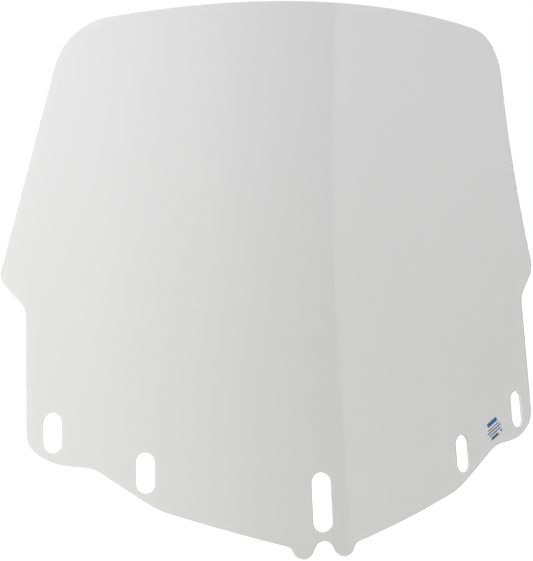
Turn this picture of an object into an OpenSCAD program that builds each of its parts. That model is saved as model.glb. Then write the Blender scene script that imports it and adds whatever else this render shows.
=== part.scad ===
// Clear touring windshield screen: one formed acrylic sheet with five mounting slots
// and a small clear label. The origin is the middle of the centre slot, on the front
// face. The front faces -Y, the rider sits on the +Y side and +Z is up.
//
// The front face is three upright sectors, a tight one in the middle and two wider
// ones at the sides, that meet tangent to each other. Seen from the side the sheet
// leans back in a straight line, and its top curls forward on one large arc.
// Positions on the sheet are a girth, measured along the curve at the height of the
// centre slot, and a height.

/* [Sheet] */
// Thickness of the sheet
sheet_t = 4; // [3:0.5:6]
// Plan radius of the middle sector
mid_r = 487; // [470:1:520]
// Sine of the half angle that the middle sector spans
mid_sine = 0.28; // [0.26:0.01:0.3]
// Plan radius of the two side sectors
side_r = 807; // [700:1:950]
// Angle that the sheet leans back
lean = 9.1; // [7:0.1:11]
// Height above which the sheet curls forward
curl_from = 222; // [200:1:260]
// Radius of the forward curl
curl_r = 1120; // [1000:10:1400]

/* [Edge] */
// Height where the two sides of the crowned top would meet
crown_h = 562.5; // [558:0.5:563]
// Radius of the crowned top
crown_r = 1590; // [1300:10:1600]
// Girth of the top corners
corner_g = 291.5; // [289:0.5:298]
// Height of the top corners
corner_h = 518.5; // [518:0.5:522]
// Fillet radius of the top corners
corner_r = 82; // [50:1:84]
// Girth of the shoulder tips
shoulder_g = 374; // [364:1:378]
// Height of the shoulder tips
shoulder_h = 240; // [232:1:248]
// Height of the lower corners
low_h = 60; // [56:0.5:63]
// Fillet radius of the lower corners
low_r = 26; // [22:1:28]
// Depth of the two lobes below the centre slot's middle, before they are rounded
lobe_h = 65.5; // [64:0.5:66.5]
// Height of the top of the notch between the lobes, below the centre slot's middle
notch_h = 42; // [41:0.5:44]

/* [Slots] */
// Width of the centre slot
centre_w = 21.5; // [16:0.5:24]
// Length of the centre slot
centre_l = 64.5; // [50:0.5:66]
// Width of the inner side slots
inner_w = 20; // [16:0.5:24]
// Width of the outer side slots
outer_w = 21.5; // [16:0.5:24]
// Length of the four side slots
slot_l = 43; // [36:1:46]
// Girth of the inner side slots
inner_g = 194.5; // [186:0.5:198]
// Height of the inner side slots
inner_h = 35; // [33:0.5:45]
// Girth of the outer side slots
outer_g = 300; // [290:0.5:302]
// Height of the outer side slots
outer_h = 75; // [70:0.5:90]
// Backward lean of the line that the screen slides along when its height is set
slide_lean = 6.5; // [0:0.5:9]

/* [Label] */
// Width of the label film
label_w = 30; // [28:0.5:32]
// Height of the label film
label_h = 23; // [22:0.5:25]
// Girth of the label's middle
label_g = 251.5; // [248:0.5:254]
// Height of the label's middle
label_up = 57.5; // [56:0.5:70]
// Angle that the label is turned by
label_turn = 23; // [0:1:30]
// Thickness of the label film with its adhesive
film_t = 0.2; // [0.1:0.05:0.3]
// Thickness of the raised ink
ink_t = 0.1; // [0.05:0.05:0.2]

/* [Hidden] */

PANEL_TINT = [0.80, 0.81, 0.81, 0.55];
FILM_TINT = [0.93, 0.94, 0.95, 0.6];
INK_BLUE = [0.10, 0.27, 0.55];
INK_DARK = [0.22, 0.22, 0.25];

// How far the blank reaches past the finished edge
blank_foot = -90;
blank_head = 580;
// The curl's circle bites this far into the straight sheet, so that the two meet in one clean line
curl_bite = 0.01;
// Half the depth of the trimming plug and of the slot cutters, along the sheet's normal
plug_reach = 60;
slot_reach = 12;
// Largest turn and largest length of one step along the trimmed edge
turn_step = 7;
edge_step = 24;
// The middle of the sheet, from which every point of the edge can be seen
hub = [0, 240];

// Right half of the edge from the crown down to the notch: [girth, height, fillet]
waist_g = shoulder_g - 36;
EDGE = [
    [0, crown_h, crown_r],
    [corner_g, corner_h, corner_r],
    [shoulder_g - 32.5, shoulder_h + 123, 3000],
    [shoulder_g, shoulder_h, 20],
    [waist_g, shoulder_h - 32.5, 22],
    [waist_g - 8.5, low_h, low_r],
    [waist_g - 37, low_h - 19, 70],
    [waist_g - 87, low_h - 22, 41],
    [180.5, -4.5, 76],
    [37, 19 - lobe_h, 8],
    [30, -lobe_h, 12.5],
    [13.5, 9.5 - lobe_h, 12.5],
    [7, -notch_h, 10],
];

// Blue marks and dark marks on the label: [across, up, width, height]
BLUE_MARKS = [[0.5, 7.9, 19, 4.6], [0, -0.8, 27, 1.4], [-0.5, -4.3, 23, 1.4], [10.3, -7.8, 2.8, 2.8]];
DARK_MARKS = [[0, 2.4, 22, 1.2], [-3.3, -8.6, 14, 3.2]];
film_r = 2.5;
mark_r = 0.4;

// --- The front face ---------------------------------------------------------------

mid_half = asin(mid_sine);
mid_cosine = sqrt(1 - mid_sine * mid_sine);
// The sectors are swept a little too wide and are cut to meet on one plane. Their steps
// are equal, so that each has a step on that plane.
sector_lap = mid_half / 16;
side_sweep = 19 * sector_lap;
sector_fn = floor(360 / sector_lap);
side_axis = [-(side_r - mid_r) * mid_sine, mid_r + (side_r - mid_r) * mid_cosine];
mid_girth = mid_r * mid_half * PI / 180;

// Which way the sheet faces at a girth, in degrees from -Y towards the right
function facing(girth) =
    abs(girth) <= mid_girth
        ? girth / mid_r * 180 / PI
        : sign(girth) * (mid_half + (abs(girth) - mid_girth) / side_r * 180 / PI);

// Angle that the sheet leans back at a height
function lean_at(height) =
    height <= curl_from ? lean : asin(sin(lean) - (height - curl_from) / curl_r);

// How far the front face stands behind its place at height 0
function set_back(height) =
    height <= curl_from
        ? tan(lean) * height
        : tan(lean) * curl_from + curl_r * (cos(lean_at(height)) - cos(lean));

// The point of the front face at a girth and a height
function on_front(girth, height) =
    let (
        a = facing(girth),
        wide = abs(girth) > mid_girth,
        r = (wide ? side_r : mid_r) - set_back(height),
        axis = wide ? [sign(girth) * side_axis.x, side_axis.y] : [0, mid_r]
    )
    [axis.x + r * sin(a), axis.y - r * cos(a), height];

// The direction that the front face looks in at a girth and a height
function outward(girth, height) =
    let (a = facing(girth), b = lean_at(height))
    [sin(a) * cos(b), -cos(a) * cos(b), sin(b)];

// --- The edge ---------------------------------------------------------------------

function unit(v) = v / norm(v);

function flat(p) = [p.x, p.y];

// The round at corner b, on the way from a to c
function fillet(a, b, c) =
    let (
        to_a = unit(flat(a) - flat(b)),
        to_c = unit(flat(c) - flat(b)),
        half = acos(to_a * to_c) / 2,
        centre = flat(b) + unit(to_a + to_c) * b.z / sin(half),
        begin = flat(b) + to_a * b.z / tan(half) - centre,
        end = flat(b) + to_c * b.z / tan(half) - centre,
        from = atan2(begin.y, begin.x),
        turn = (atan2(end.y, end.x) - from + 540) % 360 - 180,
        arc = abs(turn) * PI / 180 * b.z,
        steps = ceil(max(abs(turn) / turn_step, arc / edge_step))
    )
    [for (i = [0:steps]) centre + b.z * [cos(from + turn * i / steps), sin(from + turn * i / steps)]];

// A closed line through corners, with each corner rounded
function rounded(corners) =
    let (n = len(corners))
    [for (i = [0:n - 1]) each fillet(corners[(i + n - 1) % n], corners[i], corners[(i + 1) % n])];

// A closed line cut into steps of at most edge_step
function stepped(line) =
    let (n = len(line))
    [for (i = [0:n - 1])
        let (a = line[i], b = line[(i + 1) % n], steps = max(1, ceil(norm(b - a) / edge_step)))
        for (k = [0:steps - 1]) a + (b - a) * k / steps];

EDGE_LEFT = [for (i = [len(EDGE) - 1:-1:1]) [-EDGE[i].x, EDGE[i].y, EDGE[i].z]];
edge_line = stepped(rounded(concat(EDGE, EDGE_LEFT)));

// --- Tools ------------------------------------------------------------------------

// Section of everything that stands behind a face that is parallel to the front and
// ahead of it by ahead. In every section the front is at x = 0 at height 0.
module behind(ahead, depth) {
    forward = [cos(lean), sin(lean)];
    middle = [-set_back(curl_from), curl_from] + curl_r * forward;
    foot = [-set_back(blank_foot), blank_foot] + ahead * forward;
    turn = middle - (curl_r - ahead) * forward;
    difference() {
        polygon([
            foot,
            turn,
            [turn.x + depth, turn.y],
            [turn.x + depth, blank_head],
            [-2 * depth, blank_head],
            [-2 * depth, foot.y]
        ]);
        translate([middle.x - curl_bite, middle.y])
            circle(curl_r - ahead, $fn = 720);
    }
}

// Section of the blank
module sheet_section() {
    difference() {
        behind(0, 60);
        behind(-sheet_t, 80);
    }
}

// Section of a thin layer on the straight part of the front face
module layer_section(from, thickness, foot, head) {
    polygon([
        for (p = [[foot, from], [foot, from + thickness], [head, from + thickness], [head, from]])
            [p[1] * cos(lean) - set_back(p[0]), p[0] + p[1] * sin(lean)]
    ]);
}

// The wedge, seen from above, that the middle sector fills
module middle_wedge() {
    far = 1000;
    translate([0, 0, blank_foot - 50])
        linear_extrude(blank_head - blank_foot + 100)
            polygon([
                [0, mid_r],
                [-far * mid_sine, mid_r - far * mid_cosine],
                [far * mid_sine, mid_r - far * mid_cosine]
            ]);
}

// Sweeps a section round the middle sector's axis
module middle_sector() {
    half = mid_half + sector_lap;
    intersection() {
        translate([0, mid_r, 0])
            rotate_extrude(angle = 2 * half, start = -90 - half, $fn = sector_fn)
                translate([mid_r, 0])
                    children();
        middle_wedge();
    }
}

// Sweeps a section round the right sector's axis
module right_sector() {
    difference() {
        translate([side_axis.x, side_axis.y, 0])
            rotate_extrude(angle = side_sweep, start = mid_half - 90 - sector_lap, $fn = sector_fn)
                translate([side_r, 0])
                    children();
        middle_wedge();
    }
}

// The formed sheet before it is trimmed
module blank() {
    middle_sector() sheet_section();
    right_sector() sheet_section();
    mirror([1, 0, 0]) right_sector() sheet_section();
}

// A solid whose side walls stand square to the sheet along the whole edge
module trim_plug() {
    n = len(edge_line);
    function rim(side) =
        [for (p = edge_line) on_front(p.x, p.y) + side * plug_reach * outward(p.x, p.y)];
    function tip(side) = on_front(hub.x, hub.y) + side * plug_reach * outward(hub.x, hub.y);
    polyhedron(
        points = concat(rim(1), rim(-1), [tip(1), tip(-1)]),
        faces = [
            for (i = [0:n - 1]) let (k = (i + 1) % n) [i, k, 2 * n],
            for (i = [0:n - 1]) let (k = (i + 1) % n) [n + k, n + i, 2 * n + 1],
            for (i = [0:n - 1]) let (k = (i + 1) % n) [k, i, n + i],
            for (i = [0:n - 1]) let (k = (i + 1) % n) [k, n + i, n + k]
        ]
    );
}

// Puts its children on the front face, with -Y pointing out of the sheet and +Z up it
module on_sheet(girth, height) {
    translate(on_front(girth, height))
        rotate([0, 0, facing(girth)])
            rotate([-lean_at(height), 0, 0])
                children();
}

// A cutter for a slot with round ends, upright and along Y
module slot_cutter(w, l) {
    straight = l - w;
    rotate([90, 0, 0])
        union() {
            for (end = [-1, 1])
                translate([0, end * straight / 2, 0])
                    cylinder(d = w, h = 2 * slot_reach, center = true, $fn = 96);
            cube([w, straight, 2 * slot_reach], center = true);
        }
}

// How far a slot turns on the sheet so that it stays in line with the sliding direction
function slot_turn(girth) = atan(sin(facing(girth)) * tan(slide_lean));

module side_slots() {
    for (slot = [[inner_g, inner_h, inner_w], [outer_g, outer_h, outer_w]])
        on_sheet(slot.x, slot.y)
            rotate([0, slot_turn(slot.x), 0])
                slot_cutter(slot.z, slot_l);
}

// A flat plate with round corners, upright and along Y
module round_plate(w, h, r, depth) {
    rotate([90, 0, 0])
        linear_extrude(depth, center = true) {
            square([w - 2 * r, h], center = true);
            square([w, h - 2 * r], center = true);
            for (x = [-1, 1], y = [-1, 1])
                translate([x * (w / 2 - r), y * (h / 2 - r)])
                    circle(r, $fn = 32);
        }
}

// The part of a thin layer on the right sector that lies behind the label's children
module label_layer(from, thickness) {
    intersection() {
        right_sector()
            layer_section(from, thickness, label_up - 25, label_up + 25);
        on_sheet(label_g, label_up)
            rotate([0, -label_turn, 0])
                children();
    }
}

module marks(list) {
    for (m = list)
        translate([m[0], 0, m[1]])
            round_plate(m[2], m[3], mark_r, slot_reach);
}

// --- The pieces -------------------------------------------------------------------

module screen_panel() {
    color(PANEL_TINT)
        difference() {
            intersection() {
                blank();
                trim_plug();
            }
            on_sheet(0, 0) slot_cutter(centre_w, centre_l);
            side_slots();
            mirror([1, 0, 0]) side_slots();
        }
}

module label_film() {
    color(FILM_TINT)
        label_layer(0, film_t)
            round_plate(label_w, label_h, film_r, slot_reach);
}

module label_ink_blue() {
    color(INK_BLUE)
        label_layer(film_t, ink_t)
            marks(BLUE_MARKS);
}

module label_ink_dark() {
    color(INK_DARK)
        label_layer(film_t, ink_t)
            marks(DARK_MARKS);
}

screen_panel();
label_film();
label_ink_blue();
label_ink_dark();
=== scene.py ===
"""Builds a clear windshield screen, its small label and a plain studio around the solids.

The sheet is drawn flat, as girth across and height up, is cut into small cells, gets its
thickness and its eased edge, and is then formed to the shape of the solids. Girth is
measured along the curve at the height of the centre slot. Sizes are in metres.
"""

import math

import bmesh
import bpy
from bpy.props import FloatProperty, FloatVectorProperty, PointerProperty
from bpy.types import Operator, Panel, PropertyGroup
from mathutils import Matrix, Vector


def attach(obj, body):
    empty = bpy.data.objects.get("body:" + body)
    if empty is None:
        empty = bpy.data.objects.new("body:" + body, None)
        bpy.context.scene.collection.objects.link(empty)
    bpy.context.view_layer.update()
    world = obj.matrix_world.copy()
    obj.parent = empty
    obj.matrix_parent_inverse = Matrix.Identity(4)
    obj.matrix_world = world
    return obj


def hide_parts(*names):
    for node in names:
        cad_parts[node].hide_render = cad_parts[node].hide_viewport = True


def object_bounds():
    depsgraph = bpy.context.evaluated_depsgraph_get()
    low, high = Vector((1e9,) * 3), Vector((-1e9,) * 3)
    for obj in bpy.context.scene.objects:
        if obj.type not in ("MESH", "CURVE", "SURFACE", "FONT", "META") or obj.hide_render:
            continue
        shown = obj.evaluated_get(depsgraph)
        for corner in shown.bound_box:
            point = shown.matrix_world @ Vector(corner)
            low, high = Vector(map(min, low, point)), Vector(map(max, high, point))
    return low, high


bl_info = {
    "name": "Windshield Screen",
    "version": (1, 0, 0),
    "blender": (4, 5, 0),
    "location": "3D View > Sidebar > Windshield",
    "description": "Builds a clear touring windshield screen with its label and a studio",
    "category": "Add Mesh",
}

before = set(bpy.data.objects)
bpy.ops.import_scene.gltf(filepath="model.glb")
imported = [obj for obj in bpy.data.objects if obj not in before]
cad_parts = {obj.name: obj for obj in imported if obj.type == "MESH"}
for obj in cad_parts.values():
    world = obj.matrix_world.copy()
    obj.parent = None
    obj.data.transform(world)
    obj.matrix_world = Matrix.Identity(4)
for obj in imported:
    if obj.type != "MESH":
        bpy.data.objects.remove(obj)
CAD_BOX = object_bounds()

MM = 0.001

# The formed front face: three upright sectors, a straight lean and a curl at the top
MID_RADIUS = 487 * MM
MID_SINE = 0.28
SIDE_RADIUS = 807 * MM
LEAN = math.radians(9.1)
CURL_FROM = 222 * MM
CURL_RADIUS = 1120 * MM

# Right half of the trimmed edge, from the crown down to the notch: girth, height and
# the radius of the round there, in millimetres
EDGE_CORNERS = (
    (0, 562.5, 1590),
    (291.5, 518.5, 82),
    (341.5, 363, 3000),
    (374, 240, 20),
    (338, 207.5, 22),
    (329.5, 60, 26),
    (301, 41, 70),
    (251, 38, 41),
    (180.5, -4.5, 76),
    (37, -46.5, 8),
    (30, -65.5, 12.5),
    (13.5, -56, 12.5),
    (7, -42, 10),
)

# The slots: girth and height of the middle, width and length, in millimetres
CENTRE_SLOT = (0, 0, 21.5, 64.5)
SIDE_SLOTS = ((194.5, 35, 20, 43), (300, 75, 21.5, 43))
SLIDE_LEAN = math.radians(6.5)

# The label: girth and height of its middle in millimetres, and how far it is turned
LABEL_PLACE = (251.5, 57.5)
LABEL_TURN = math.radians(23)

# The label's layers above the sheet, their eased edges and their corners. The film's
# underside stands a hair's breadth off the sheet, so that the two never share a face.
FILM_FOOT = 0.02 * MM
FILM_TOP = 0.2 * MM
FILM_EASE = 0.05 * MM
FILM_CORNER = 2.5 * MM
INK_TOP = 0.3 * MM
INK_EASE = 0.03 * MM
INK_CORNER = 0.4 * MM

# Bars on the label, in millimetres: across, up, width and height
BLUE_BARS = (
    (0.5, 7.9, 19, 4.6),
    (0, -0.8, 27, 1.4),
    (-0.5, -4.3, 23, 1.4),
    (10.3, -7.8, 2.8, 2.8),
)
DARK_BARS = ((0, 2.4, 22, 1.2), (-3.3, -8.6, 14, 3.2))

# The mesh: longest side of a face along a slot, width of the band along every edge,
# longest side of a face of the label, and widest turn of one step of an arc
SLOT_STEP = 2.5 * MM
EDGE_BAND = 2.5 * MM
LABEL_CELL = 2 * MM
ARC_STEP = math.radians(6)

# Before forming, a face is front or back where its normal points up or down by more than
# this, and belongs to a cut edge elsewhere
FLAT = 0.98

UP = Vector((0, 0, 1))


# --- What a user may change -----------------------------------------------------------


class SCREEN_PG_sheet(PropertyGroup):
    """Sizes and finish of the formed sheet"""

    thickness: FloatProperty(
        name="Thickness",
        description="Thickness of the sheet",
        default=4 * MM,
        min=1 * MM,
        max=8 * MM,
        unit="LENGTH",
    )
    eased_edge: FloatProperty(
        name="Eased edge",
        description="Radius of the polished round along every cut edge",
        default=0.3 * MM,
        min=0.1 * MM,
        max=1 * MM,
        unit="LENGTH",
    )
    cell: FloatProperty(
        name="Cell",
        description="Largest side of one face of the mesh",
        default=7 * MM,
        min=4 * MM,
        max=20 * MM,
        unit="LENGTH",
    )
    tint: FloatVectorProperty(
        name="Tint",
        description="Colour that the sheet takes on with depth",
        default=(0.0, 0.0, 0.0),
        min=0,
        max=1,
        subtype="COLOR",
    )
    smoke: FloatProperty(
        name="Smoke",
        description="How strongly a metre of the acrylic takes light away",
        default=105,
        min=0,
        max=1000,
    )
    haze: FloatProperty(
        name="Haze",
        description="Share of the light that the surface scatters",
        default=0.12,
        min=0,
        max=1,
        subtype="FACTOR",
    )
    wipe_marks: FloatProperty(
        name="Wipe marks",
        description="Strength of the faint marks that wiping leaves on the polish",
        default=0.5,
        min=0,
        max=1,
        subtype="FACTOR",
    )


class SCREEN_PG_label(PropertyGroup):
    """Sizes and colours of the label"""

    width: FloatProperty(
        name="Width",
        description="Width of the clear film",
        default=30 * MM,
        min=28 * MM,
        max=32 * MM,
        unit="LENGTH",
    )
    height: FloatProperty(
        name="Height",
        description="Height of the clear film",
        default=23 * MM,
        min=22 * MM,
        max=25 * MM,
        unit="LENGTH",
    )
    film: FloatVectorProperty(
        name="Film",
        description="Colour of the clear film",
        default=(0.90, 0.92, 0.98),
        min=0,
        max=1,
        subtype="COLOR",
    )
    film_cover: FloatProperty(
        name="Film cover",
        description="How much of what lies behind it the film hides",
        default=0.08,
        min=0.02,
        max=1,
        subtype="FACTOR",
    )
    blue: FloatVectorProperty(
        name="Blue ink",
        description="Colour of the blue bars",
        default=(0.0, 0.07, 0.26),
        min=0,
        max=1,
        subtype="COLOR",
    )
    dark: FloatVectorProperty(
        name="Dark ink",
        description="Colour of the dark bars",
        default=(0.05, 0.05, 0.06),
        min=0,
        max=1,
        subtype="COLOR",
    )


class SCREEN_PG_studio(PropertyGroup):
    """The studio round the screen"""

    floor_radius: FloatProperty(
        name="Floor radius",
        description="Radius of the round floor",
        default=6,
        min=1,
        max=20,
        unit="LENGTH",
    )
    fill: FloatProperty(
        name="Fill light",
        description="Strength of the even light from all sides",
        default=0.72,
        min=0,
        max=2,
    )
    key_power: FloatProperty(
        name="Key light",
        description="Power of the soft light overhead",
        default=18,
        min=0,
        max=200,
        unit="POWER",
    )
    side_power: FloatProperty(
        name="Side light",
        description="Power of the soft light on the left",
        default=235,
        min=0,
        max=400,
        unit="POWER",
    )
    lens: FloatProperty(
        name="Lens",
        description="Focal length of the camera, in millimetres",
        default=96.26,
        min=20,
        max=300,
    )


# --- Shaping the sheet ----------------------------------------------------------------


def facing(girth):
    """Angle from the front, towards the right, that the sheet faces at a girth."""
    half = math.asin(MID_SINE)
    beyond = abs(girth) - MID_RADIUS * half
    angle = abs(girth) / MID_RADIUS if beyond <= 0 else half + beyond / SIDE_RADIUS
    return math.copysign(angle, girth)


def lean_at(height):
    """Angle that the sheet leans back at a height."""
    if height <= CURL_FROM:
        return LEAN
    return math.asin(math.sin(LEAN) - (height - CURL_FROM) / CURL_RADIUS)


def set_back(height):
    """How far the front face stands behind its place at height 0."""
    if height <= CURL_FROM:
        return math.tan(LEAN) * height
    rise = math.cos(lean_at(height)) - math.cos(LEAN)
    return math.tan(LEAN) * CURL_FROM + CURL_RADIUS * rise


def formed(flat):
    """Where a point of the flat sheet lies once the sheet is formed.

    The flat point holds girth, height and how far it stands out of the front face.
    """
    girth, height, lift = flat
    angle, lean = facing(girth), lean_at(height)
    wide = abs(girth) > MID_RADIUS * math.asin(MID_SINE)
    spread = (SIDE_RADIUS - MID_RADIUS) if wide else 0
    axis = Vector((
        -math.copysign(spread * MID_SINE, girth),
        MID_RADIUS + spread * math.sqrt(1 - MID_SINE**2),
        height,
    ))
    away = Vector((math.sin(angle), -math.cos(angle), 0))
    radius = (SIDE_RADIUS if wide else MID_RADIUS) - set_back(height)
    return axis + away * (radius + lift * math.cos(lean)) + UP * (lift * math.sin(lean))


def form(bm):
    """Moves every vertex of a flat mesh to its place on the formed sheet."""
    for vert in bm.verts:
        vert.co = formed(vert.co)


def corner_round(before, corner, after):
    """Centre, first point and turn of the round at a corner of a closed line."""
    here = Vector(corner[:2])
    back = (Vector(before[:2]) - here).normalized()
    on = (Vector(after[:2]) - here).normalized()
    half = back.angle(on) / 2
    centre = here + (back + on).normalized() * corner[2] / math.sin(half)
    start = here + back * corner[2] / math.tan(half)
    turn = (math.pi - 2 * half) * math.copysign(1, back.cross(on))
    return centre, start, -turn


def join(bm, first, last, step):
    """Joins two vertices by a line of short edges."""
    count = math.ceil((last.co - first.co).length / step)
    if count > 1:
        stride = (last.co - first.co) / count
        line = bmesh.ops.spin(bm, geom=[first], dvec=stride, axis=UP, angle=0, steps=count - 1)
        first = [v for v in line["geom_last"] if isinstance(v, bmesh.types.BMVert)][0]
    bm.edges.new((first, last))


def add_arc(bm, centre, start, turn, step):
    """Spins a vertex into an arc and returns its two ends."""
    first = bm.verts.new((*start, 0))
    radius = (Vector(start) - Vector(centre)).length
    count = max(math.ceil(abs(turn) * radius / step), math.ceil(abs(turn) / ARC_STEP))
    spun = bmesh.ops.spin(
        bm, geom=[first], cent=(*centre, 0), axis=UP, angle=turn, steps=count
    )
    last = [v for v in spun["geom_last"] if isinstance(v, bmesh.types.BMVert)][0]
    return first, last


def add_outline(bm, corners, step):
    """Draws a closed line with a round at each corner."""
    ends = []
    for i, corner in enumerate(corners):
        after = corners[(i + 1) % len(corners)]
        ends.append(add_arc(bm, *corner_round(corners[i - 1], corner, after), step))
    for i, (first, last) in enumerate(ends):
        join(bm, ends[i - 1][1], first, step)


def lay_flat(bm, verts, girth, height, turn):
    """Turns what is drawn at true size and lays it on the flat sheet at a place."""
    wide = abs(girth) > MID_RADIUS * math.asin(MID_SINE)
    radius = SIDE_RADIUS if wide else MID_RADIUS
    stretch = radius / (radius - set_back(height))
    bmesh.ops.rotate(bm, verts=verts, matrix=Matrix.Rotation(turn, 3, "Z"))
    bmesh.ops.scale(bm, verts=verts, vec=(stretch, math.cos(LEAN), 1))
    bmesh.ops.translate(bm, verts=verts, vec=(girth, height, 0))


def add_slot(bm, slot, step):
    """Draws the outline of an upright slot with round ends."""
    girth, height, width, length = (size * MM for size in slot)
    old = set(bm.verts)
    reach = (length - width) / 2
    right = add_arc(bm, (0, reach), (width / 2, reach), math.pi, step)
    left = add_arc(bm, (0, -reach), (-width / 2, -reach), math.pi, step)
    join(bm, right[1], left[0], step)
    join(bm, left[1], right[0], step)
    new = [v for v in bm.verts if v not in old]
    tilt = math.atan(math.sin(facing(girth)) * math.tan(SLIDE_LEAN))
    lay_flat(bm, new, girth, height, -tilt)


def cut_cells(bm, faces_to_cut, cell):
    """Cuts flat faces into square cells and takes away the edges inside each cell."""
    # Rounding slack, as a share of a cell
    slack = 1e-4
    low = [min(v.co[k] for v in bm.verts) for k in (0, 1)]
    high = [max(v.co[k] for v in bm.verts) for k in (0, 1)]
    lines = [
        [cell * i for i in range(math.ceil(low[k] / cell), math.floor(high[k] / cell) + 1)]
        for k in (0, 1)
    ]
    for k in (0, 1):
        normal = (1, 0, 0) if k == 0 else (0, 1, 0)
        for place in lines[k]:
            faces = faces_to_cut(bm)
            near = [
                f for f in faces
                if min(v.co[k] for v in f.verts) < place < max(v.co[k] for v in f.verts)
            ]
            geom = near + list({e for f in near for e in f.edges})
            geom += list({v for f in near for v in f.verts})
            point = (place, 0, 0) if k == 0 else (0, place, 0)
            bmesh.ops.bisect_plane(bm, geom=geom, dist=1e-7, plane_co=point, plane_no=normal)
    inner = set(faces_to_cut(bm))

    def along_a_line(edge):
        for k in (0, 1):
            a, b = (v.co[k] / cell for v in edge.verts)
            if abs(a - b) < slack and abs(a - round(a)) < slack:
                return True
        return False

    loose = [
        e for e in bm.edges
        if len(e.link_faces) == 2 and inner.issuperset(e.link_faces) and not along_a_line(e)
    ]
    bmesh.ops.dissolve_edges(bm, edges=loose, use_verts=False, use_face_split=False)


def thicken(bm, depth, ease):
    """Gives flat faces a depth below their height and eases the edges along the walls."""
    top = max(v.co.z for v in bm.verts)
    bmesh.ops.solidify(bm, geom=bm.faces[:], thickness=depth)
    sink = max(v.co.z for v in bm.verts) - top
    bmesh.ops.translate(bm, verts=bm.verts[:], vec=(0, 0, -sink))
    bmesh.ops.recalc_face_normals(bm, faces=bm.faces[:])
    rims = [
        e for e in bm.edges
        if len(e.link_faces) == 2
        and (abs(e.link_faces[0].normal.z) > FLAT) != (abs(e.link_faces[1].normal.z) > FLAT)
    ]
    bmesh.ops.bevel(
        bm,
        geom=rims,
        offset=ease,
        offset_type="OFFSET",
        affect="EDGES",
        segments=3,
        profile=0.5,
        material=-1,
        clamp_overlap=False,
    )


def finish_piece(context, bm, name, node, material):
    """Makes the object, puts it in place of its solid and gives it its material."""
    mesh = bpy.data.meshes.new(name)
    bm.to_mesh(mesh)
    bm.free()
    mesh.shade_smooth()
    mesh.materials.append(material)
    piece = bpy.data.objects.new(name, mesh)
    context.scene.collection.objects.link(piece)
    weighted = piece.modifiers.new("weighted_normals", "WEIGHTED_NORMAL")
    weighted.mode = "FACE_AREA"
    weighted.weight = 60
    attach(piece, "root")
    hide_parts(node)
    return piece


# --- Materials ------------------------------------------------------------------------

# The foot of the sheet has a little more tone: the heights where it starts and is full
TONE_FROM = 520 * MM
TONE_FULL = 100 * MM

# Only the brightest threads of a drawn-out noise are scratches
HAIR_SCRATCH = 0.71

# How much of a cut face is milled grey, seen from outside, and the share of the light that
# meets it from within and goes straight on
MILLED_SHARE = 0.8
THROUGH_SHARE = 0.3


class Flow:
    """A number that changes over a surface, with the operators that its maths uses."""

    def __init__(self, shader, socket):
        self.shader = shader
        self.socket = socket

    def __add__(self, other):
        return self.shader.maths("ADD", self, other)

    __radd__ = __add__

    def __mul__(self, other):
        return self.shader.maths("MULTIPLY", self, other)

    __rmul__ = __mul__

    def __rsub__(self, other):
        return self.shader.maths("SUBTRACT", other, self)

    def __truediv__(self, other):
        return self.shader.maths("DIVIDE", self, other)

    def __gt__(self, other):
        return self.shader.maths("GREATER_THAN", self, other)

    def __lt__(self, other):
        return self.shader.maths("LESS_THAN", self, other)


class Shader:
    """The node tree of a material or a world, and the ways to add to it."""

    def __init__(self, owner):
        owner.use_nodes = True
        self.tree = owner.node_tree
        self.tree.nodes.clear()

    def node(self, kind, settings=None, values=None):
        """Adds a node, sets its settings first and then the values or links of its sockets."""
        node = self.tree.nodes.new(kind)
        for key, value in (settings or {}).items():
            if key == "stops":
                self.set_stops(node.color_ramp, value)
            else:
                setattr(node, key, value)
        for key, value in (values or {}).items():
            socket = value.socket if isinstance(value, Flow) else value
            if isinstance(socket, bpy.types.NodeSocket):
                self.tree.links.new(socket, node.inputs[key])
            else:
                node.inputs[key].default_value = socket
        return node

    @staticmethod
    def set_stops(ramp, stops):
        """Sets a ramp's stops, given as places with grey values."""
        while len(ramp.elements) > 1:
            ramp.elements.remove(ramp.elements[-1])
        for i, (place, value) in enumerate(stops):
            stop = ramp.elements[0] if i == 0 else ramp.elements.new(place)
            stop.position = place
            stop.color = (value, value, value, 1)

    def flow(self, kind, output, settings=None, values=None):
        """Adds a node and returns one of its outputs as a number."""
        return Flow(self, self.node(kind, settings, values).outputs[output])

    def maths(self, operation, *values):
        """Adds a Math node and returns its result as a number."""
        return self.flow("ShaderNodeMath", 0, {"operation": operation}, dict(enumerate(values)))

    def tone(self, share, first, second):
        """Adds a Mix node for two colours and returns the socket of its result."""
        values = {"Factor": share, 6: first, 7: second}
        return self.node("ShaderNodeMix", {"data_type": "RGBA"}, values).outputs[2]

    def noise(self, place, scale, detail):
        """Adds a Noise node and returns its grey value as a number."""
        values = {"Vector": place, "Scale": scale, "Detail": detail}
        return self.flow("ShaderNodeTexNoise", "Fac", None, values)

    def drawn_out(self, place, turn, length):
        """Adds a Mapping node that draws a pattern out into strokes, and returns its socket."""
        values = {"Vector": place, "Rotation": (0, turn, 0), "Scale": (1, 1, length)}
        return self.node("ShaderNodeMapping", None, values).outputs["Vector"]


def spots(shader, place, scale, chance, size):
    """Scattered round dots: 1 on a dot and 0 elsewhere."""
    cells = shader.node(
        "ShaderNodeTexVoronoi", {"feature": "F1"}, {"Vector": place, "Scale": scale}
    )
    lot = shader.flow("ShaderNodeSeparateColor", "Red", None, {"Color": cells.outputs["Color"]})
    near = Flow(shader, cells.outputs["Distance"]) < size
    return near * (lot < chance)


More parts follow.
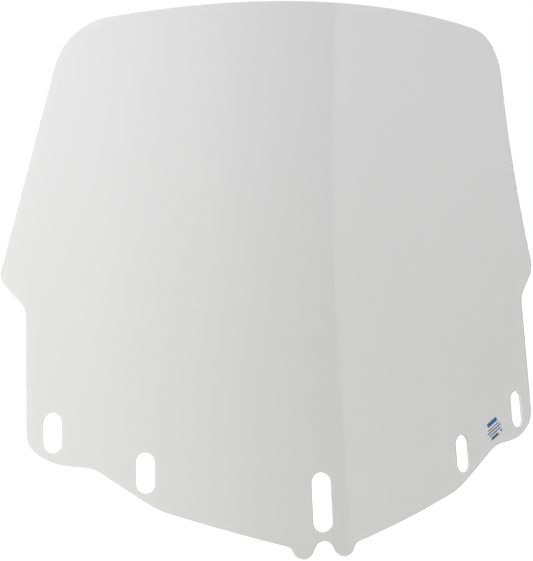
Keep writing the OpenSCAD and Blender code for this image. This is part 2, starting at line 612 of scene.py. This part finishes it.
def clear_acrylic(look):
    """Light smoke acrylic, polished, with faint wipe marks and specks of dust."""
    material = bpy.data.materials.new("clear_smoke_acrylic")
    shader = Shader(material)
    place = shader.node("ShaderNodeTexCoord").outputs["Object"]
    cut = shader.flow("ShaderNodeAttribute", "Fac", {"attribute_name": "cut_edge"})
    inside = shader.flow("ShaderNodeNewGeometry", "Backfacing")

    # Wiping leaves long shallow strokes, and the polish is a little uneven under them
    strokes = shader.drawn_out(place, turn=0.35, length=7)
    smear = shader.noise(strokes, scale=11, detail=4)
    hairs = shader.drawn_out(place, turn=0.5, length=45)
    scratch = shader.noise(hairs, scale=30, detail=2) > HAIR_SCRATCH
    dust = spots(shader, place, scale=48, chance=0.05, size=0.045)

    # The faces are nearly a mirror, marks and dust dull them, and cut edges are satin
    saw = shader.noise(place, scale=900, detail=2)
    rough = 0.003 + look.wipe_marks * (0.008 * smear + 0.03 * scratch) + 0.2 * dust
    rough = rough + cut * (0.15 + 0.1 * saw)

    # Formed acrylic is very slightly wavy, and its cut edge keeps a trace of the tool
    wave = shader.noise(place, scale=14, detail=1)
    relief = 0.000004 * wave + 0.00002 * cut * saw
    bump = shader.node(
        "ShaderNodeBump", None, {"Height": relief, "Distance": 1.0, "Strength": 1.0}
    )

    # The sheet takes on a little more tone towards its foot
    height = shader.flow("ShaderNodeSeparateXYZ", "Z", None, {"Vector": place})
    low = shader.flow(
        "ShaderNodeMapRange", "Result", {"interpolation_type": "SMOOTHSTEP"},
        {"Value": height, "From Min": TONE_FROM, "From Max": TONE_FULL, "To Min": 0, "To Max": 1},
    )
    tone = shader.tone(low, (1, 1, 1, 1), (0.946, 0.944, 0.938, 1))
    tone = shader.tone(dust * 0.5, tone, (0.7, 0.7, 0.68, 1))

    surface = shader.node(
        "ShaderNodeBsdfPrincipled", None,
        {
            "Base Color": tone,
            "Roughness": rough,
            "IOR": 1.49,
            "Transmission Weight": 1 - look.haze,
            "Normal": bump.outputs["Normal"],
        },
    )
    milled = shader.node(
        "ShaderNodeBsdfPrincipled", None,
        {"Base Color": (0.76, 0.76, 0.76, 1), "Roughness": 0.5, "Normal": bump.outputs["Normal"]},
    )
    surface = shader.node(
        "ShaderNodeMixShader", None,
        {0: cut * MILLED_SHARE * (1 - inside), 1: surface.outputs[0], 2: milled.outputs[0]},
    )
    # Where light within the sheet meets a cut face, part of it goes straight on. Were all of
    # it bent, a dark line would run along every edge.
    through = shader.node("ShaderNodeBsdfTransparent")
    surface = shader.node(
        "ShaderNodeMixShader", None,
        {0: cut * inside * THROUGH_SHARE, 1: surface.outputs[0], 2: through.outputs[0]},
    )
    depth = shader.node(
        "ShaderNodeVolumeAbsorption", None,
        {"Color": (*look.tint, 1), "Density": look.smoke},
    )
    shader.node(
        "ShaderNodeOutputMaterial", None,
        {"Surface": surface.outputs[0], "Volume": depth.outputs[0]},
    )
    return material


def label_film(look):
    """Clear polyester film with a faint milky cast."""
    material = bpy.data.materials.new("label_clear_film")
    shader = Shader(material)
    place = shader.node("ShaderNodeTexCoord").outputs["Object"]
    cloud = shader.noise(place, scale=700, detail=3)
    surface = shader.node(
        "ShaderNodeBsdfPrincipled", None,
        {
            "Base Color": (*look.film, 1),
            "Roughness": 0.12 + 0.1 * cloud,
            "IOR": 1.5,
            "Alpha": look.film_cover * (0.8 + 0.4 * cloud),
        },
    )
    shader.node("ShaderNodeOutputMaterial", None, {"Surface": surface.outputs[0]})
    return material


def printed_ink(name, colour):
    """Printed ink, slightly uneven, with a satin surface."""
    material = bpy.data.materials.new(name)
    shader = Shader(material)
    place = shader.node("ShaderNodeTexCoord").outputs["Object"]
    grain = shader.noise(place, scale=1600, detail=3)

    # The grain lets a little of the pale ground through
    paler = tuple(c + 0.1 * (1 - c) for c in colour)
    tone = shader.tone(0.5 * grain, (*colour, 1), (*paler, 1))
    bump = shader.node(
        "ShaderNodeBump", None, {"Height": grain * 0.00001, "Distance": 1.0, "Strength": 1.0}
    )
    surface = shader.node(
        "ShaderNodeBsdfPrincipled", None,
        {
            "Base Color": tone,
            "Roughness": 0.38 + 0.12 * grain,
            "IOR": 1.35,
            "Normal": bump.outputs["Normal"],
        },
    )
    shader.node("ShaderNodeOutputMaterial", None, {"Surface": surface.outputs[0]})
    return material


# --- The pieces -----------------------------------------------------------------------


class SCREEN_OT_sheet(Operator):
    """Build the formed clear sheet with its five slots"""

    bl_idname = "windshield.sheet"
    bl_label = "Formed sheet"

    def execute(self, context):
        look = context.scene.windshield_sheet
        corners = [tuple(size * MM for size in corner) for corner in EDGE_CORNERS]
        corners += [(-g, h, r) for g, h, r in reversed(corners[1:])]
        bm = bmesh.new()
        add_outline(bm, corners, look.cell)
        add_slot(bm, CENTRE_SLOT, SLOT_STEP)
        for girth, height, width, length in SIDE_SLOTS:
            add_slot(bm, (girth, height, width, length), SLOT_STEP)
            add_slot(bm, (-girth, height, width, length), SLOT_STEP)
        bmesh.ops.triangle_fill(bm, use_beauty=True, edges=bm.edges[:], normal=UP)

        # A band along every edge keeps the eased edge clear of the cells. Its faces are
        # marked by their material index, so that only the rest is cut into cells.
        ring = bmesh.ops.inset_region(
            bm,
            faces=bm.faces[:],
            use_boundary=True,
            use_even_offset=True,
            thickness=EDGE_BAND,
        )["faces"]
        for face in ring:
            face.material_index = 1
        cut_cells(bm, lambda mesh: [f for f in mesh.faces if f.material_index == 0], look.cell)
        for face in bm.faces:
            face.material_index = 0
        thicken(bm, look.thickness, look.eased_edge)

        cut = bm.faces.layers.float.new("cut_edge")
        for face in bm.faces:
            face[cut] = 1 if abs(face.normal.z) < FLAT else 0
        form(bm)
        finish_piece(
            context, bm, "clear_sheet", "screen_panel", clear_acrylic(look)
        )
        return {"FINISHED"}


def rounded_bar(bm, across, up, width, height, radius):
    """Adds a flat bar with round corners."""
    made = bmesh.ops.create_grid(bm, x_segments=1, y_segments=1, size=0.5)["verts"]
    bmesh.ops.scale(bm, verts=made, vec=(width, height, 1))
    bmesh.ops.translate(bm, verts=made, vec=(across, up, 0))
    bmesh.ops.bevel(
        bm,
        geom=made,
        offset=radius,
        offset_type="OFFSET",
        affect="VERTICES",
        segments=6,
        profile=0.5,
        material=-1,
    )


def label_layer(bars, radius, foot, head, ease):
    """Flat bars at the label's place, from foot to head above the sheet, then formed."""
    bm = bmesh.new()
    for bar in bars:
        rounded_bar(bm, *(size * MM for size in bar), radius)
    cut_cells(bm, lambda mesh: mesh.faces[:], LABEL_CELL)
    lay_flat(bm, bm.verts[:], LABEL_PLACE[0] * MM, LABEL_PLACE[1] * MM, LABEL_TURN)
    bmesh.ops.translate(bm, verts=bm.verts[:], vec=(0, 0, head))
    thicken(bm, head - foot, ease)
    form(bm)
    return bm


class SCREEN_OT_label(Operator):
    """Build the clear label film and the plain bars on it"""

    bl_idname = "windshield.label"
    bl_label = "Label"

    def execute(self, context):
        look = context.scene.windshield_label
        film = (0, 0, look.width / MM, look.height / MM)
        bm = label_layer([film], FILM_CORNER, FILM_FOOT, FILM_TOP, FILM_EASE)
        finish_piece(
            context, bm, "label_clear_film", "label_film", label_film(look)
        )
        for name, slot, bars, colour in (
            ("label_blue_bars", "ink_blue", BLUE_BARS, look.blue),
            ("label_dark_bars", "ink_dark", DARK_BARS, look.dark),
        ):
            bm = label_layer(bars, INK_CORNER, FILM_TOP, INK_TOP, INK_EASE)
            finish_piece(context, bm, name, f"label_{slot}", printed_ink(slot, colour))
        return {"FINISHED"}


# --- The studio -----------------------------------------------------------------------

# What the gloss mirrors: angles from the front, towards the right, in degrees, with the
# brightness there. A ramp holds at most 1, so it holds shares of its top.
MIRRORED_LIGHT = (
    (-120, 1.0),
    (-80, 1.5),
    (-56, 1.6),
    (-38, 1.45),
    (-24, 0.8),
    (0, 0.25),
    (27, 0.1),
    (27.6, 1.0),
    (60, 1.35),
    (85, 1.3),
    (120, 1.0),
)
RAMP_TOP = 2

# The floor lies this far below the lowest point of the screen, and glows this much, but
# only to the camera, so that it shows as white as what lies beyond it
FLOOR_GAP = 0.3 * MM
FLOOR_GLOW = 0.6

# Soft lights: name, place, width and the size in the studio's group that holds its power
SOFTBOXES = (
    ("overhead_softbox", (-0.2, -0.5, 2.4), 1.6, "key_power"),
    ("left_softbox", (-3.0, -0.2, 0.3), 1.6, "side_power"),
)
LIGHTS_AIM = Vector((0, 0.06, 0.2))

# The camera: its place, how far it looks towards the right and down, and its roll
CAMERA_PLACE = Vector((-0.5455, -1.51952, 0.37537))
CAMERA_AZIMUTH = math.radians(17.5592)
CAMERA_DOWN = math.radians(4.6966)
CAMERA_ROLL = math.radians(0.2058)


def studio_world(look):
    """White to the eye all round. Only what the gloss mirrors differs from side to side."""
    world = bpy.data.worlds.new("studio")
    shader = Shader(world)
    ray = shader.node("ShaderNodeLightPath").outputs
    way = shader.node("ShaderNodeTexCoord").outputs["Generated"]
    parts = shader.node("ShaderNodeSeparateXYZ", None, {"Vector": way}).outputs
    x, y = Flow(shader, parts["X"]), Flow(shader, parts["Y"])
    turn = shader.maths("ARCTAN2", x, 0 - y) * (180 / math.pi)

    ramp = shader.node(
        "ShaderNodeValToRGB",
        {"stops": [((a + 180) / 360, level / RAMP_TOP) for a, level in MIRRORED_LIGHT]},
        {"Fac": (turn + 180) / 360},
    )
    mirrored = Flow(shader, ramp.outputs["Color"]) * RAMP_TOP
    seen = shader.maths("MAXIMUM", ray["Is Camera Ray"], ray["Is Transmission Ray"])
    gloss = Flow(shader, ray["Is Glossy Ray"]) * (1 - seen)
    strength = seen + gloss * mirrored + (1 - seen) * (1 - gloss) * look.fill
    light = shader.node("ShaderNodeBackground", None, {"Color": (1, 1, 1, 1), "Strength": strength})
    shader.node("ShaderNodeOutputWorld", None, {"Surface": light.outputs[0]})
    return world


def studio_floor_paint():
    """Pale matt floor that shows white to the camera and keeps a soft shadow."""
    material = bpy.data.materials.new("studio_floor")
    shader = Shader(material)
    ray = shader.node("ShaderNodeLightPath").outputs
    clear = shader.maths("MAXIMUM", ray["Is Glossy Ray"], ray["Is Transmission Ray"])
    clear = shader.maths("MAXIMUM", clear, shader.flow("ShaderNodeNewGeometry", "Backfacing"))
    matt = shader.node("ShaderNodeBsdfDiffuse", None, {"Color": (0.8, 0.8, 0.8, 1)})
    glow = shader.node(
        "ShaderNodeEmission", None,
        {"Color": (1, 1, 1, 1), "Strength": Flow(shader, ray["Is Camera Ray"]) * FLOOR_GLOW},
    )
    lit = shader.node("ShaderNodeAddShader", None, {0: matt.outputs[0], 1: glow.outputs[0]})
    gone = shader.node("ShaderNodeBsdfTransparent")
    mixed = shader.node(
        "ShaderNodeMixShader", None, {0: clear, 1: lit.outputs[0], 2: gone.outputs[0]}
    )
    shader.node("ShaderNodeOutputMaterial", None, {"Surface": mixed.outputs[0]})
    return material


class SCREEN_OT_studio(Operator):
    """Set up the floor, the lights and the camera"""

    bl_idname = "windshield.studio"
    bl_label = "Studio"

    def execute(self, context):
        look = context.scene.windshield_studio
        scene = context.scene
        scene.view_settings.view_transform = "Standard"
        scene.world = studio_world(look)

        bm = bmesh.new()
        bmesh.ops.create_circle(bm, cap_ends=True, segments=96, radius=look.floor_radius)
        bmesh.ops.translate(bm, verts=bm.verts[:], vec=(0, 0, CAD_BOX[0][2] - FLOOR_GAP))
        mesh = bpy.data.meshes.new("studio_floor")
        bm.to_mesh(mesh)
        bm.free()
        mesh.materials.append(studio_floor_paint())
        floor = bpy.data.objects.new("studio_floor", mesh)
        scene.collection.objects.link(floor)

        for name, place, size, power in SOFTBOXES:
            light = bpy.data.lights.new(name, "AREA")
            light.size = size
            light.energy = getattr(look, power)
            lamp = bpy.data.objects.new(name, light)
            lamp.location = place
            aim = LIGHTS_AIM - lamp.location
            lamp.rotation_euler = aim.to_track_quat("-Z", "Y").to_euler()
            lamp.visible_glossy = False
            lamp.visible_transmission = False
            scene.collection.objects.link(lamp)

        lens = bpy.data.cameras.new("camera")
        lens.lens = look.lens
        lens.sensor_width = 36
        lens.clip_end = 50
        camera = bpy.data.objects.new("camera", lens)
        camera.matrix_world = (
            Matrix.Translation(CAMERA_PLACE)
            @ Matrix.Rotation(-CAMERA_AZIMUTH, 4, "Z")
            @ Matrix.Rotation(math.pi / 2 - CAMERA_DOWN, 4, "X")
            @ Matrix.Rotation(CAMERA_ROLL, 4, "Z")
        )
        scene.collection.objects.link(camera)
        scene.camera = camera
        return {"FINISHED"}


class SCREEN_PT_panel(Panel):
    """The windshield screen's sizes, colours and steps"""

    bl_idname = "SCREEN_PT_panel"
    bl_label = "Windshield Screen"
    bl_space_type = "VIEW_3D"
    bl_region_type = "UI"
    bl_category = "Windshield"

    def draw(self, context):
        for group, operator in (
            ("windshield_sheet", SCREEN_OT_sheet),
            ("windshield_label", SCREEN_OT_label),
            ("windshield_studio", SCREEN_OT_studio),
        ):
            box = self.layout.box()
            look = getattr(context.scene, group)
            for name in look.__annotations__:
                box.prop(look, name)
            box.operator(operator.bl_idname)


GROUPS = {
    "windshield_sheet": SCREEN_PG_sheet,
    "windshield_label": SCREEN_PG_label,
    "windshield_studio": SCREEN_PG_studio,
}
OPERATORS = (SCREEN_OT_sheet, SCREEN_OT_label, SCREEN_OT_studio)


def register():
    for cls in (*GROUPS.values(), *OPERATORS, SCREEN_PT_panel):
        bpy.utils.register_class(cls)
    for name, group in GROUPS.items():
        setattr(bpy.types.Scene, name, PointerProperty(type=group))


def unregister():
    for name in GROUPS:
        delattr(bpy.types.Scene, name)
    for cls in (SCREEN_PT_panel, *reversed(OPERATORS), *reversed(list(GROUPS.values()))):
        bpy.utils.unregister_class(cls)


def main():
    register()
    bpy.ops.windshield.sheet()
    bpy.ops.windshield.label()
    bpy.ops.windshield.studio()


if __name__ == "__main__":
    main()
